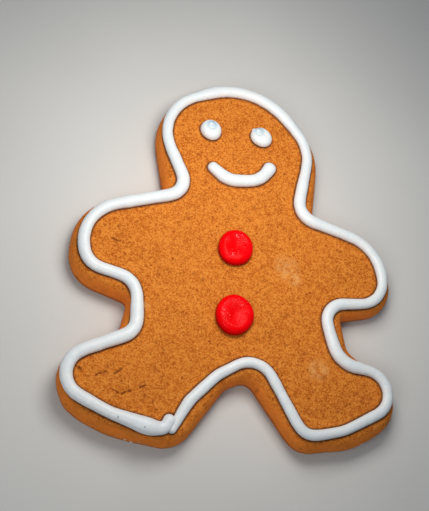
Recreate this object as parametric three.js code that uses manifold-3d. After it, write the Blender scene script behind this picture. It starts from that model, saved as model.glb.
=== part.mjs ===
// Gingerbread man cookie: a rolled, cut and baked biscuit, outlined with one piped line of
// white icing, with two iced eyes, an iced smile and two red sugar buttons.
//
// Millimetres. The biscuit lies on its flat underside at z = 0, with +Z up, the head towards
// +Y, and the origin under the middle of the biscuit.

import * as THREE from 'three';
import { mergeVertices } from 'three/addons/utils/BufferGeometryUtils.js';
import Module from 'manifold-3d';

// ---------------------------------------------------------------- driving dimensions

// The baked biscuit, seen from its edge.
const THICKNESS = 8.5;
const BULGE_HEIGHT = 3.0; // the edge bulges out furthest at this height
const SHOULDER = 3.2; // the top edge rounds in by this much
const TUCK = 1.2; // the bottom edge rounds in by this much
const SHOULDER_STEPS = 6;
const TUCK_STEPS = 3;

// The cutter is a belt that runs round circles, anticlockwise from the crown. It passes outside
// the full parts (radius above zero) and inside the hollows (radius below zero), with straight
// tangents between them.
const CUTTER = [
  { name: 'crown', x: -1.2, y: 35.3, radius: 24.2 },
  { name: 'left_temple', x: -7.7, y: 37.2, radius: 18.8 },
  { name: 'left_neck', x: -24.3, y: 19.3, radius: -0.9 },
  { name: 'left_arm', x: -34.6, y: -1.6, radius: 15.6 },
  { name: 'left_hand', x: -38.9, y: -4.4, radius: 11.5 },
  { name: 'left_armpit', x: -34.1, y: -19.7, radius: -1.6 },
  { name: 'left_waist', x: -36.6, y: -25.5, radius: -2.9 },
  { name: 'left_foot', x: -39.5, y: -42.3, radius: 11.0 },
  { name: 'left_sole', x: -31.9, y: -39.3, radius: 17.8 },
  { name: 'left_heel', x: -19.9, y: -50.3, radius: 9.5 },
  { name: 'left_thigh', x: 2.4, y: -47.7, radius: -7.1 },
  { name: 'right_thigh', x: 3.3, y: -43.7, radius: -3.8 },
  { name: 'right_heel', x: 23.2, y: -49.0, radius: 9.2 },
  { name: 'right_sole', x: 29.6, y: -42.4, radius: 15.2 },
  { name: 'right_foot', x: 39.4, y: -42.9, radius: 10.4 },
  { name: 'right_waist', x: 38.9, y: -25.5, radius: -3.7 },
  { name: 'right_armpit', x: 34.9, y: -18.6, radius: -1.1 },
  { name: 'right_hand', x: 40.6, y: -6.0, radius: 9.9 },
  { name: 'right_arm', x: 33.1, y: -3.2, radius: 15.9 },
  { name: 'right_neck', x: 26.6, y: 17.0, radius: -1.0 },
  { name: 'right_temple', x: 8.7, y: 33.2, radius: 18.5 },
];

// The icing line follows the edge by hand, so it is a belt of its own. It starts thin on the left
// heel, runs up the inner leg and all the way round. It comes back along the left sole, swells
// on the heel and curls up against its own start. bead is the line's width at each stop.
const ICING_LINE = [
  { name: 'start', x: -18.1, y: -55.3, radius: 0, bead: 2.6 },
  { name: 'inner_leg', x: -5.5, y: -53.3, radius: -10.1, bead: 3.3 },
  { name: 'left_thigh', x: 1.7, y: -48.4, radius: -11.8, bead: 3.1 },
  { name: 'right_thigh', x: 4.1, y: -41.9, radius: -7.4, bead: 3.1 },
  { name: 'right_heel', x: 22.9, y: -49.0, radius: 5.4, bead: 3.1 },
  { name: 'right_sole', x: 29.0, y: -43.2, radius: 9.7, bead: 2.9 },
  { name: 'right_foot', x: 39.7, y: -40.7, radius: 6.9, bead: 3.2 },
  { name: 'right_waist', x: 37.6, y: -25.3, radius: -8.0, bead: 3.8 },
  { name: 'right_armpit', x: 33.8, y: -19.5, radius: -5.9, bead: 3.6 },
  { name: 'right_hand', x: 38.7, y: -4.9, radius: 8.1, bead: 3.2 },
  { name: 'right_arm', x: 32.7, y: -4.3, radius: 14.0, bead: 3.4 },
  { name: 'right_neck', x: 25.8, y: 18.5, radius: -6.1, bead: 3.9 },
  { name: 'right_temple', x: 8.1, y: 34.9, radius: 14.5, bead: 3.3 },
  { name: 'crown', x: -1.1, y: 34.1, radius: 22.1, bead: 3.9 },
  { name: 'left_temple', x: -8.9, y: 38.5, radius: 14.8, bead: 3.4 },
  { name: 'left_neck', x: -23.4, y: 21.1, radius: -5.6, bead: 4.0 },
  { name: 'left_arm', x: -33.9, y: -1.6, radius: 12.8, bead: 3.6 },
  { name: 'left_hand', x: -39.8, y: -4.1, radius: 6.4, bead: 3.5 },
  { name: 'left_armpit', x: -36.6, y: -18.2, radius: -6.6, bead: 3.5 },
  { name: 'left_waist', x: -34.9, y: -25.1, radius: -5.3, bead: 4.0 },
  { name: 'left_foot', x: -41.2, y: -41.6, radius: 7.1, bead: 3.7 },
  { name: 'left_sole', x: -29.9, y: -37.0, radius: 16.0, bead: 3.3 },
  { name: 'swell', x: -23.6, y: -50.1, radius: 5.2, bead: 4.9 },
  { name: 'curl', x: -21.4, y: -53.1, radius: 2.4, bead: 3.7 },
  { name: 'end', x: -19.0, y: -52.3, radius: 0, bead: 3.0 },
];
const SPLIT = 'left_neck'; // the line is made in two lengths that meet after this stop

// The smile hangs from its two ends, rounder on the left than on the right.
const SMILE = [
  { x: -8.6, y: 27.3, radius: 0, bead: 3.5 },
  { x: -2.0, y: 29.4, radius: 5.8, bead: 4.1 },
  { x: 2.0, y: 32.0, radius: 8.0, bead: 3.9 },
  { x: 9.8, y: 29.5, radius: 0, bead: 4.3 },
];

const BEAD_RISE = 0.52; // height of a piped line above the biscuit, as a part of its width
const BEAD_SIDES = 10;
const TIP_STEPS = 3; // rings that round off each end of a piped line
const TIP_PHASE = 0.9; // how far round the tip its first ring lies, in steps
const ROUND_BELOW = 0.5; // depth of a line's round underside, as a part of its width
const FLAT_BELOW = 0;

const EYES = [
  { name: 'eye_left', x: -9.7, y: 40.4, length: 7.4, width: 6.8, height: 2.7, turn: -60 },
  { name: 'eye_right', x: 7.0, y: 40.4, length: 7.4, width: 6.7, height: 2.6, turn: -35 },
];
const BUTTONS = [
  { name: 'button_upper', x: -1.1, y: 0.5, length: 11.4, width: 10.9, height: 3.1, turn: 80 },
  { name: 'button_lower', x: -1.1, y: -20.9, length: 12.2, width: 11.7, height: 3.4, turn: 80 },
];
const DROP_SIDES = 28;

// Shapes of the drops, as parts of their width (across) or of their height (up).
const EYE_STEPS = 7;
const EYE_FOOT = 0.46; // radius of the foot, across
const EYE_PEAK = 0.22; // height of the peak that the nozzle pulls up
const EYE_PEAK_SPREAD = 0.14; // radius of that peak, across
const BUTTON_STEPS = 9;
const BUTTON_FOOT = 0.455; // radius of the foot, across
const BUTTON_RIM = 0.28; // height of the widest line
const BUTTON_DIMPLE = 0.1; // depth of the dimple
const BUTTON_DIMPLE_SPREAD = 0.22; // radius of the dimple, across
const BUTTON_SIDE_FULLNESS = 0.6; // power of a cosine; a smaller one gives a fuller rim
const BUTTON_TOP_FULLNESS = 0.8; // power of a sine; a smaller one gives a flatter top

const ARC_ERROR = 0.06; // largest gap between a facet and the arc that it stands for

const BISCUIT_LOOK = { color: 0xc97a34, roughness: 0.85, metalness: 0 };
const ICING_LOOK = { color: 0xf2f0ea, roughness: 0.35, metalness: 0 };
const BUTTON_LOOK = { color: 0xe00a12, roughness: 0.2, metalness: 0 };

// ---------------------------------------------------------------- belts round circles

const withRadius = (circle, radius) => ({ ...circle, radius });

// Direction from a circle's centre to the tangent that leaves it for the next circle.
function tangentDirection(from, to) {
  const dx = to.x - from.x;
  const dy = to.y - from.y;
  return Math.atan2(dy, dx) - Math.acos((from.radius - to.radius) / Math.hypot(dx, dy));
}

// The smallest turn from one direction to another, between -PI and PI.
function turnBetween(start, end) {
  return Math.atan2(Math.sin(end - start), Math.cos(end - start));
}

// Points where the belt lies on one circle. Every parallel outline has the same turns, so with
// stepsRadius kept, it has the same number of points too.
function arcPoints(previous, circle, next, stepsRadius) {
  const start = tangentDirection(previous, circle);
  const turn = turnBetween(start, tangentDirection(circle, next));
  const stepAngle = Math.sqrt((8 * ARC_ERROR) / Math.max(stepsRadius, 1));
  const steps = Math.max(1, Math.ceil(Math.abs(turn) / stepAngle));
  return Array.from({ length: steps + 1 }, (_, k) => {
    const angle = start + (turn * k) / steps;
    const x = circle.x + circle.radius * Math.cos(angle);
    const y = circle.y + circle.radius * Math.sin(angle);
    return { x, y, name: circle.name, bead: circle.bead };
  });
}

// The closed outline of the biscuit, moved inwards by inset.
function cutterOutline(inset) {
  const circles = CUTTER.map((circle) => withRadius(circle, circle.radius - inset));
  return circles.flatMap((circle, i) => {
    const previous = circles.at(i - 1);
    const next = circles[(i + 1) % circles.length];
    return arcPoints(previous, circle, next, Math.abs(CUTTER[i].radius) + SHOULDER);
  });
}

// An open belt: from its first point, round the circles, to its last point.
function openBelt(stops) {
  const inner = stops.slice(1, -1).flatMap((circle, i) => {
    return arcPoints(stops[i], circle, stops[i + 2], Math.abs(circle.radius));
  });
  return [stops[0], ...inner, stops.at(-1)];
}

// ---------------------------------------------------------------- solids from rings

// Joins rings of equal length, each anticlockwise round the way they are stacked, and closes
// both ends. capOf gives the triangles that fill a ring.
function solidFromRings(rings, capOf) {
  const count = rings[0].length;
  const index = [];
  for (let i = 0; i + 1 < rings.length; i += 1) {
    for (let j = 0; j < count; j += 1) {
      const a = i * count + j;
      const b = i * count + ((j + 1) % count);
      index.push(a, b, b + count, a, b + count, a + count);
    }
  }
  const last = (rings.length - 1) * count;
  capOf(rings[0]).forEach(([a, b, c]) => index.push(c, b, a));
  capOf(rings.at(-1)).forEach(([a, b, c]) => index.push(last + a, last + b, last + c));
  const geometry = new THREE.BufferGeometry();
  geometry.setFromPoints(rings.flat());
  geometry.setIndex(index);
  return geometry;
}

function flatCap(ring) {
  return THREE.ShapeUtils.triangulateShape(ring.map((p) => new THREE.Vector2(p.x, p.y)), []);
}

function fanCap(ring) {
  return Array.from({ length: ring.length - 2 }, (_, k) => [0, k + 1, k + 2]);
}

// ---------------------------------------------------------------- biscuit

// The edge from the table up: a small tuck, a bulge, then a wide round shoulder.
function edgeProfile() {
  const tuck = Array.from({ length: TUCK_STEPS }, (_, k) => {
    const angle = (Math.PI / 2) * (1 - k / TUCK_STEPS);
    return { inset: TUCK * (1 - Math.cos(angle)), z: BULGE_HEIGHT * (1 - Math.sin(angle)) };
  });
  const shoulder = Array.from({ length: SHOULDER_STEPS + 1 }, (_, k) => {
    const angle = ((Math.PI / 2) * k) / SHOULDER_STEPS;
    const rise = (THICKNESS - BULGE_HEIGHT) * Math.sin(angle);
    return { inset: SHOULDER * (1 - Math.cos(angle)), z: BULGE_HEIGHT + rise };
  });
  return [...tuck, ...shoulder];
}

function biscuitGeometry() {
  const rings = edgeProfile().map(({ inset, z }) => {
    return cutterOutline(inset).map((p) => new THREE.Vector3(p.x, p.y, z));
  });
  return solidFromRings(rings, flatCap);
}

// ---------------------------------------------------------------- piped lines

// One ring of a piped line. It rises by BEAD_RISE of its width above its middle, and reaches
// down by bottom of its width below it.
function beadRing(middle, forward, width, bottom) {
  return Array.from({ length: BEAD_SIDES }, (_, k) => {
    const angle = Math.PI / 2 + (2 * Math.PI * k) / BEAD_SIDES;
    const across = (width / 2) * Math.cos(angle);
    const up = width * Math.sin(angle) * (Math.sin(angle) > 0 ? BEAD_RISE : bottom);
    const x = middle.x - forward.y * across;
    const y = middle.y + forward.x * across;
    return new THREE.Vector3(x, y, THICKNESS + up);
  });
}

// Rings that round off one end of a piped line, from the full width outwards.
function tipRings(end, forward, outwards, bottom) {
  return Array.from({ length: TIP_STEPS }, (_, k) => {
    const angle = ((k + TIP_PHASE) * Math.PI) / (2 * TIP_STEPS);
    const reach = (outwards * end.bead * Math.sin(angle)) / 2;
    const middle = { x: end.x + forward.x * reach, y: end.y + forward.y * reach };
    return beadRing(middle, forward, end.bead * Math.cos(angle), bottom);
  });
}

// A piped line along a path of points that each have a width, with both ends rounded.
function beadGeometry(path, bottom) {
  const forwards = path.map((_, i) => {
    const before = path[Math.max(i - 1, 0)];
    const after = path[Math.min(i + 1, path.length - 1)];
    return new THREE.Vector2(after.x - before.x, after.y - before.y).normalize();
  });
  const body = path.map((p, i) => beadRing(p, forwards[i], p.bead, bottom));
  const startTip = tipRings(path[0], forwards[0], -1, bottom).reverse();
  const endTip = tipRings(path.at(-1), forwards.at(-1), 1, bottom);
  return solidFromRings([...startTip, ...body, ...endTip], fanCap);
}

// ---------------------------------------------------------------- drops

// A profile turned round the upright axis, then drawn out to an oval.
function dropGeometry(profile, { length, width, turn }) {
  const points = profile.map(([r, z]) => new THREE.Vector2(r, z));
  const geometry = new THREE.LatheGeometry(points, DROP_SIDES);
  geometry.rotateX(Math.PI / 2);
  geometry.scale(length, width, 1);
  geometry.rotateZ(THREE.MathUtils.degToRad(turn));
  return geometry;
}

// An eye is a round drop with a low peak where the nozzle was lifted.
function eyeProfile(height) {
  const peak = EYE_PEAK * height;
  const arc = Array.from({ length: EYE_STEPS }, (_, k) => {
    const angle = ((Math.PI / 2) * k) / EYE_STEPS;
    const r = Math.cos(angle) / 2;
    const pulled = peak * Math.exp(-((r / EYE_PEAK_SPREAD) ** 2));
    return [r, (height - peak) * Math.sin(angle) + pulled];
  });
  return [[0, 0], [EYE_FOOT, 0], ...arc.slice(1), [0, height]];
}

// A button is a thick flattened dome with a shallow dimple in the middle.
function buttonProfile(height) {
  const dimple = BUTTON_DIMPLE * height;
  const rim = BUTTON_RIM * height;
  const arc = Array.from({ length: BUTTON_STEPS }, (_, k) => {
    const angle = ((Math.PI / 2) * k) / BUTTON_STEPS;
    const r = Math.cos(angle) ** BUTTON_SIDE_FULLNESS / 2;
    const z = rim + (height - rim) * Math.sin(angle) ** BUTTON_TOP_FULLNESS;
    return [r, z - dimple * Math.exp(-((r / BUTTON_DIMPLE_SPREAD) ** 2))];
  });
  return [[0, 0], [BUTTON_FOOT, 0], ...arc, [0, height - dimple]];
}

// ---------------------------------------------------------------- cutting

const wasm = await Module();
wasm.setup();

function toManifold(geometry) {
  const bare = new THREE.BufferGeometry();
  bare.setAttribute('position', geometry.getAttribute('position'));
  bare.setIndex(geometry.getIndex());
  const merged = mergeVertices(bare);
  return new wasm.Manifold(new wasm.Mesh({
    numProp: 3,
    vertProperties: new Float32Array(merged.getAttribute('position').array),
    triVerts: new Uint32Array(merged.getIndex().array),
  }));
}

function fromManifold(solid) {
  const mesh = solid.getMesh();
  const geometry = new THREE.BufferGeometry();
  geometry.setAttribute('position', new THREE.BufferAttribute(mesh.vertProperties, 3));
  geometry.setIndex(new THREE.BufferAttribute(mesh.triVerts, 1));
  return geometry;
}

// ---------------------------------------------------------------- assembly

function namedMesh(name, geometry, look) {
  geometry.computeVertexNormals();
  const mesh = new THREE.Mesh(geometry, new THREE.MeshStandardMaterial(look));
  mesh.name = name;
  return mesh;
}

const cookie = new THREE.Group();

const biscuit = biscuitGeometry();
cookie.add(namedMesh('biscuit', biscuit, BISCUIT_LOOK));

// The line touches itself at the heel, so it is made in two lengths whose round tips lie inside
// one another, and they are joined into one solid. It is round underneath as piped, and the
// biscuit cuts it: it takes the shape of the flat top and of the shoulder wherever it lies on them.
const line = openBelt(ICING_LINE);
const split = line.findLastIndex((point) => point.name === SPLIT);
const [firstLength, secondLength] = [line.slice(0, split + 1), line.slice(split)].map(
  (length) => toManifold(beadGeometry(length, ROUND_BELOW)),
);
const icing = firstLength.add(secondLength).subtract(toManifold(biscuit));
cookie.add(namedMesh('icing_outline', fromManifold(icing), ICING_LOOK));

cookie.add(namedMesh('smile', beadGeometry(openBelt(SMILE), FLAT_BELOW), ICING_LOOK));

for (const eye of EYES) {
  const mesh = namedMesh(eye.name, dropGeometry(eyeProfile(eye.height), eye), ICING_LOOK);
  mesh.position.set(eye.x, eye.y, THICKNESS);
  cookie.add(mesh);
}

for (const button of BUTTONS) {
  const geometry = dropGeometry(buttonProfile(button.height), button);
  const mesh = namedMesh(button.name, geometry, BUTTON_LOOK);
  mesh.position.set(button.x, button.y, THICKNESS);
  cookie.add(mesh);
}

// The origin goes under the middle of the whole cookie.
const middle = new THREE.Box3().setFromObject(cookie).getCenter(new THREE.Vector3());
cookie.position.set(-middle.x, -middle.y, 0);

export default cookie;
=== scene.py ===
# %% [markdown]
# # A gingerbread man cookie
# This lesson finishes a gingerbread man: a baked biscuit, one piped line of icing round its
# edge, two iced eyes, an iced smile and two red sugar buttons. A plain model already fixes every
# size and place, so each step reads its sizes from that model and only adds the baker's detail.
# Lengths in the lesson are millimetres, turned into Blender's metres by MM.

# %% Load the frame
import math
import random

import bmesh
import bpy
import numpy as np
from mathutils import Matrix, Vector


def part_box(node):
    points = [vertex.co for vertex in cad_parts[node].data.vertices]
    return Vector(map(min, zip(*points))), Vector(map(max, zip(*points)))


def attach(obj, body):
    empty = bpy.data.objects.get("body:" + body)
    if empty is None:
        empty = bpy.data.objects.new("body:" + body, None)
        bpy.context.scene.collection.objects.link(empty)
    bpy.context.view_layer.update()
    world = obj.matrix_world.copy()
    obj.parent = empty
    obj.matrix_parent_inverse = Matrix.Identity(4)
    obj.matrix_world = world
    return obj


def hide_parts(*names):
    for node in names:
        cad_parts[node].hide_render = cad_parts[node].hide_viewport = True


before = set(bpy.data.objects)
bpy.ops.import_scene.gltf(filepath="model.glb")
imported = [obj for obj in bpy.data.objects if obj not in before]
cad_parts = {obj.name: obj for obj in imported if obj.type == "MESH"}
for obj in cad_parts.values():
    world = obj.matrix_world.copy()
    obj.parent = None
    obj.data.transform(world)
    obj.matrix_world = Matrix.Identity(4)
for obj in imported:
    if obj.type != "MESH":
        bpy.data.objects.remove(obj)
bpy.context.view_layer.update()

MM = 0.001
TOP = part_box("biscuit")[1].z
print("parts:", sorted(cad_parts))

# %% [markdown]
# ## Camera
# The cookie lies on a table and the camera looks steeply down on it from beyond its left foot.
# Anyone who leans over a table also turns the camera a little about its own axis, so the camera
# is aimed first and rolled after that. The roll is one rotation about its view axis.

# %% Camera
CAMERA_AZIMUTH = 28.87
CAMERA_ELEVATION = 64.0
CAMERA_ROLL = 33.0
CAMERA_DISTANCE = 256.1 * MM
CAMERA_AIM = Vector((-7.42 * MM, -2.31 * MM, TOP + 0.2 * MM))


def direction(azimuth, elevation):
    """The unit vector of a look that turns from +Y towards +X, and down by its elevation."""
    turn, drop = math.radians(azimuth), math.radians(elevation)
    flat = math.cos(drop)
    return Vector((flat * math.sin(turn), flat * math.cos(turn), -math.sin(drop)))


def aimed(location, look, roll=0.0):
    """A matrix that places a camera or a lamp at a location, looking along a direction."""
    turn = look.to_track_quat("-Z", "Y").to_matrix() @ Matrix.Rotation(math.radians(roll), 3, "Z")
    return Matrix.Translation(location) @ turn.to_4x4()


look = direction(CAMERA_AZIMUTH, CAMERA_ELEVATION)
camera_data = bpy.data.cameras.new("camera")
camera_data.lens = 60
camera_data.sensor_width = 36
camera_data.clip_start = 0.01
camera = bpy.data.objects.new("camera", camera_data)
camera.matrix_world = aimed(CAMERA_AIM - look * CAMERA_DISTANCE, look, CAMERA_ROLL)
bpy.context.scene.collection.objects.link(camera)
bpy.context.scene.camera = camera
print("camera is", round(camera.matrix_world.translation.z / MM), "mm above the table")

# %% [markdown]
# ## Floor and light
# Food is lit softly. The key lamp hangs low over the chest, so its light falls away towards the
# feet. The fill lamp stands over twice as far off, near the camera, and reaches the sides of
# the biscuit. A pale sky softens the rest. The plain view transform keeps the strong red and the
# white as they are in the materials.

# %% Floor and light
KEY_PLACE = Vector((-8.0, 24.0, 112.0)) * MM
KEY_AIM = Vector((-4.0, 17.0, 0.0)) * MM
KEY_SIZE = 70 * MM
KEY_POWER = 0.112
FILL_PLACE = Vector((-130.0, -130.0, 230.0)) * MM
FILL_AIM = Vector((0.0, 0.0, 0.0))
FILL_SIZE = 120 * MM
FILL_POWER = 0.17
LAMP_COLOUR = (1.0, 0.97, 0.92)
SKY_COLOUR = (0.68, 0.84, 1.0, 1.0)
SKY_STRENGTH = 0.15
FLOOR_SIZE = 4000 * MM


def add_lamp(name, place, aim, size, power):
    """A square soft lamp that shines from one point towards another."""
    data = bpy.data.lights.new(name, "AREA")
    data.size = size
    data.energy = power
    data.color = LAMP_COLOUR
    lamp = bpy.data.objects.new(name, data)
    lamp.matrix_world = aimed(place, (aim - place).normalized())
    lamp.visible_camera = False
    bpy.context.scene.collection.objects.link(lamp)


add_lamp("key_lamp", KEY_PLACE, KEY_AIM, KEY_SIZE, KEY_POWER)
add_lamp("fill_lamp", FILL_PLACE, FILL_AIM, FILL_SIZE, FILL_POWER)

sky = bpy.data.worlds.new("sky")
sky.use_nodes = True
sky.node_tree.nodes["Background"].inputs["Color"].default_value = SKY_COLOUR
sky.node_tree.nodes["Background"].inputs["Strength"].default_value = SKY_STRENGTH
bpy.context.scene.world = sky
bpy.context.scene.view_settings.view_transform = "Standard"

floor_mesh = bpy.data.meshes.new("floor")
half = FLOOR_SIZE / 2
floor_corners = [(-half, -half, 0), (half, -half, 0), (half, half, 0), (-half, half, 0)]
floor_mesh.from_pydata(floor_corners, [], [(0, 1, 2, 3)])
floor = bpy.data.objects.new("floor", floor_mesh)
bpy.context.scene.collection.objects.link(floor)

# %% [markdown]
# ## Writing node trees
# Materials and geometry recipes are both trees of nodes. Three kinds of helper keep them
# readable. Some add a node with its settings and links. Some start or end a group with named
# inputs and outputs. One runs a geometry recipe and keeps the result as a plain mesh.

# %% Add and fill nodes


def fill(tree, node, values):
    """Fills a node's sockets, by name or number, each with a constant or a link."""
    for key, value in values.items():
        if isinstance(value, bpy.types.NodeSocket):
            tree.links.new(value, node.inputs[key])
        else:
            node.inputs[key].default_value = value


def add_node(tree, kind, values=None, **settings):
    """Adds a node with its settings, and fills its sockets."""
    node = tree.nodes.new(kind)
    for name, value in settings.items():
        setattr(node, name, value)
    fill(tree, node, values or {})
    return node


# %% Sums, noise and dots


def math_node(tree, operation, first, second=0.0, clamp=False):
    """One sum on numbers, as a socket."""
    values = {0: first, 1: second}
    return add_node(tree, "ShaderNodeMath", values, operation=operation, use_clamp=clamp).outputs[0]


def plus(tree, first, second):
    """A total, as a socket."""
    return math_node(tree, "ADD", first, second)


def minus(tree, first, second):
    """A difference, as a socket."""
    return math_node(tree, "SUBTRACT", first, second)


def times(tree, first, second):
    """A product, as a socket."""
    return math_node(tree, "MULTIPLY", first, second)


def part_of(tree, vector, axis):
    """One of the three numbers of a vector or a colour, as a socket."""
    return add_node(tree, "ShaderNodeSeparateXYZ", {0: vector}).outputs[axis]


def ramp_node(tree, value, start, end, low=0.0, high=1.0):
    """A smooth step of a value from low to high as it goes from start to end."""
    values = {0: value, 1: start, 2: end, 3: low, 4: high}
    return add_node(tree, "ShaderNodeMapRange", values,
                    interpolation_type="SMOOTHSTEP").outputs[0]


def noise_node(tree, place, size, detail=2.0, roughness=0.5):
    """Soft noise whose lumps are about size millimetres across, as a socket around 0.5."""
    values = {"Vector": place, "Scale": 1 / (size * MM), "Detail": detail, "Roughness": roughness}
    return add_node(tree, "ShaderNodeTexNoise", values).outputs[0]


def wave_node(tree, place, size, detail=1.0):
    """The same noise around zero, as a socket."""
    return minus(tree, noise_node(tree, place, size, detail), 0.5)


def dots_node(tree, place, spacing, edge, choice):
    """Round dots in some cells of a cell pattern, as a socket.

    spacing is in millimetres. edge holds the distances, in cells, where a dot starts and is
    full. choice holds the random values from which a cell has a faint dot and a full one.
    """
    cells = add_node(tree, "ShaderNodeTexVoronoi", {"Vector": place, "Scale": 1 / (spacing * MM)})
    chosen = ramp_node(tree, part_of(tree, cells.outputs["Color"], "X"), *choice)
    return times(tree, ramp_node(tree, cells.outputs["Distance"], *edge), chosen)


def mix_node(tree, factor, first, second):
    """A mix of two colours, as a socket."""
    values = {0: factor, 6: first, 7: second}
    return add_node(tree, "ShaderNodeMix", values, data_type="RGBA").outputs[2]


# %% Start and end a group


def new_group(name, kind, inputs, outputs):
    """A node group with named inputs and outputs, given as (name, socket type, default)."""
    tree = bpy.data.node_groups.new(name, kind)
    for direction_name, items in (("INPUT", inputs), ("OUTPUT", outputs)):
        for socket_name, socket_type, default in items:
            made = tree.interface.new_socket(
                socket_name, in_out=direction_name, socket_type=socket_type)
            if default is not None:
                made.default_value = default
    group_in = tree.nodes.new("NodeGroupInput").outputs
    group_out = tree.nodes.new("NodeGroupOutput").inputs
    return tree, group_in, group_out


def push_out(tree, shape, height):
    """Moves each point of a shape along its normal by a height."""
    normal = add_node(tree, "GeometryNodeInputNormal").outputs[0]
    offset = add_node(tree, "ShaderNodeVectorMath", {0: normal, "Scale": height},
                      operation="SCALE").outputs[0]
    return add_node(tree, "GeometryNodeSetPosition",
                    {"Geometry": shape, "Offset": offset}).outputs[0]


def end_recipe(tree, shape, finish, result, smooth=True):
    """Ends a geometry recipe: smooth shading, real copies, the material and the way out."""
    if smooth:
        shape = add_node(tree, "GeometryNodeSetShadeSmooth", {"Geometry": shape}).outputs[0]
    plain = add_node(tree, "GeometryNodeRealizeInstances", {"Geometry": shape})
    finished = add_node(tree, "GeometryNodeSetMaterial",
                        {"Geometry": plain.outputs[0], "Material": finish})
    tree.links.new(finished.outputs[0], result)


# %% Plain meshes from recipes


def place_mesh(name, mesh):
    """An object at the origin that holds the mesh."""
    piece = bpy.data.objects.new(name, mesh)
    bpy.context.scene.collection.objects.link(piece)
    return piece


def bake_modifiers(piece):
    """Replaces the object's mesh by what its modifiers make of it, and removes them."""
    graph = bpy.context.evaluated_depsgraph_get()
    result = bpy.data.meshes.new_from_object(
        piece.evaluated_get(graph), preserve_all_data_layers=True, depsgraph=graph)
    piece.modifiers.clear()
    piece.data = result
    return piece


def run_recipe(name, mesh, tree, values):
    """Runs a geometry recipe on a mesh. values are the recipe's inputs by name."""
    piece = place_mesh(name, mesh)
    modifier = piece.modifiers.new("recipe", "NODES")
    modifier.node_group = tree
    for item in tree.interface.items_tree:
        if item.in_out == "INPUT" and item.name in values:
            modifier[item.identifier] = values[item.name]
    return bake_modifiers(piece)


def merged_copy(*node_names):
    """A copy of plain parts as one mesh, with the corners of their loose triangles joined."""
    shape = bmesh.new()
    for node_name in node_names:
        shape.from_mesh(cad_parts[node_name].data)
    bmesh.ops.remove_doubles(shape, verts=shape.verts, dist=0.002 * MM)
    mesh = bpy.data.meshes.new(node_names[0] + "_copy")
    shape.to_mesh(mesh)
    shape.free()
    return mesh


for part_name in sorted(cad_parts):
    print(part_name, "has", len(merged_copy(part_name).vertices), "corners")

# %% [markdown]
# ## Shared finishes
# Two effects are shader groups. "crumb" is the mottled look of baked dough: pale grains, brown
# spice specks and broad uneven browning. It keeps that long recipe out of the gingerbread's own
# tree. "skin" gives set icing and set sugar their faint dimples, so two materials share it.
# Groups give out only numbers and colours, and the shader itself stays in each material.

# %% The crumb group
SPICE_COLOUR = (0.27, 0.055, 0.005, 1)
# How far apart the specks stand, in millimetres, and how far noise shifts them.
SPICE_SPACING = 1.3
SPICE_SHIFT = 0.7 * MM


def build_crumb_group():
    """Colour, roughness and height of baked dough, from object coordinates."""
    inputs = [
        ("Place", "NodeSocketVector", None),
        ("Dough", "NodeSocketColor", (0.70, 0.200, 0.022, 1)),
        ("Brown", "NodeSocketColor", (0.42, 0.095, 0.008, 1)),
        ("Pale", "NodeSocketColor", (0.82, 0.29, 0.042, 1)),
    ]
    outputs = [
        ("Colour", "NodeSocketColor", None),
        ("Roughness", "NodeSocketFloat", None),
        ("Height", "NodeSocketFloat", None),
    ]
    tree, group_in, group_out = new_group("crumb", "ShaderNodeTree", inputs, outputs)
    place = group_in["Place"]
    blotch = noise_node(tree, place, 8.0)
    mottle = noise_node(tree, place, 1.5, detail=3.0, roughness=0.65)
    grain = noise_node(tree, place, 0.6, detail=1.0, roughness=0.6)
    grit = noise_node(tree, place, 0.3, detail=1.0)
    mixed = plus(tree, times(tree, mottle, 0.34), times(tree, grain, 0.36))
    mixed = plus(tree, times(tree, grit, 0.30), mixed)
    browning = math_node(tree, "ADD", ramp_node(tree, mixed, 0.53, 0.37, 0.0, 0.8),
                         ramp_node(tree, blotch, 0.56, 0.34, 0.0, 0.18), clamp=True)
    colour = mix_node(tree, browning, group_in["Dough"], group_in["Brown"])
    pale = ramp_node(tree, mixed, 0.48, 0.60, 0.0, 0.9)
    colour = mix_node(tree, pale, colour, group_in["Pale"])

    # Spice specks are small dark dots, and noise in their places makes their shape uneven.
    wobble = add_node(tree, "ShaderNodeTexNoise", {"Vector": place, "Scale": 1 / SPICE_SHIFT})
    shifted = add_node(tree, "ShaderNodeVectorMath", {
        0: wobble.outputs["Color"], 1: (SPICE_SHIFT,) * 3, 2: place}, operation="MULTIPLY_ADD")
    dots = dots_node(tree, shifted.outputs[0], SPICE_SPACING, (0.34, 0.06), (0.20, 0.95))
    colour = mix_node(tree, times(tree, dots, 0.85), colour, SPICE_COLOUR)
    tree.links.new(colour, group_out["Colour"])
    tree.links.new(ramp_node(tree, mixed, 0.3, 0.7, 0.95, 0.75), group_out["Roughness"])
    tree.links.new(minus(tree, mixed, times(tree, dots, 0.3)), group_out["Height"])
    return tree


CRUMB_GROUP = build_crumb_group()
print("shader group:", CRUMB_GROUP.name, "with", len(CRUMB_GROUP.nodes), "nodes")

# %% The skin group


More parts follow.
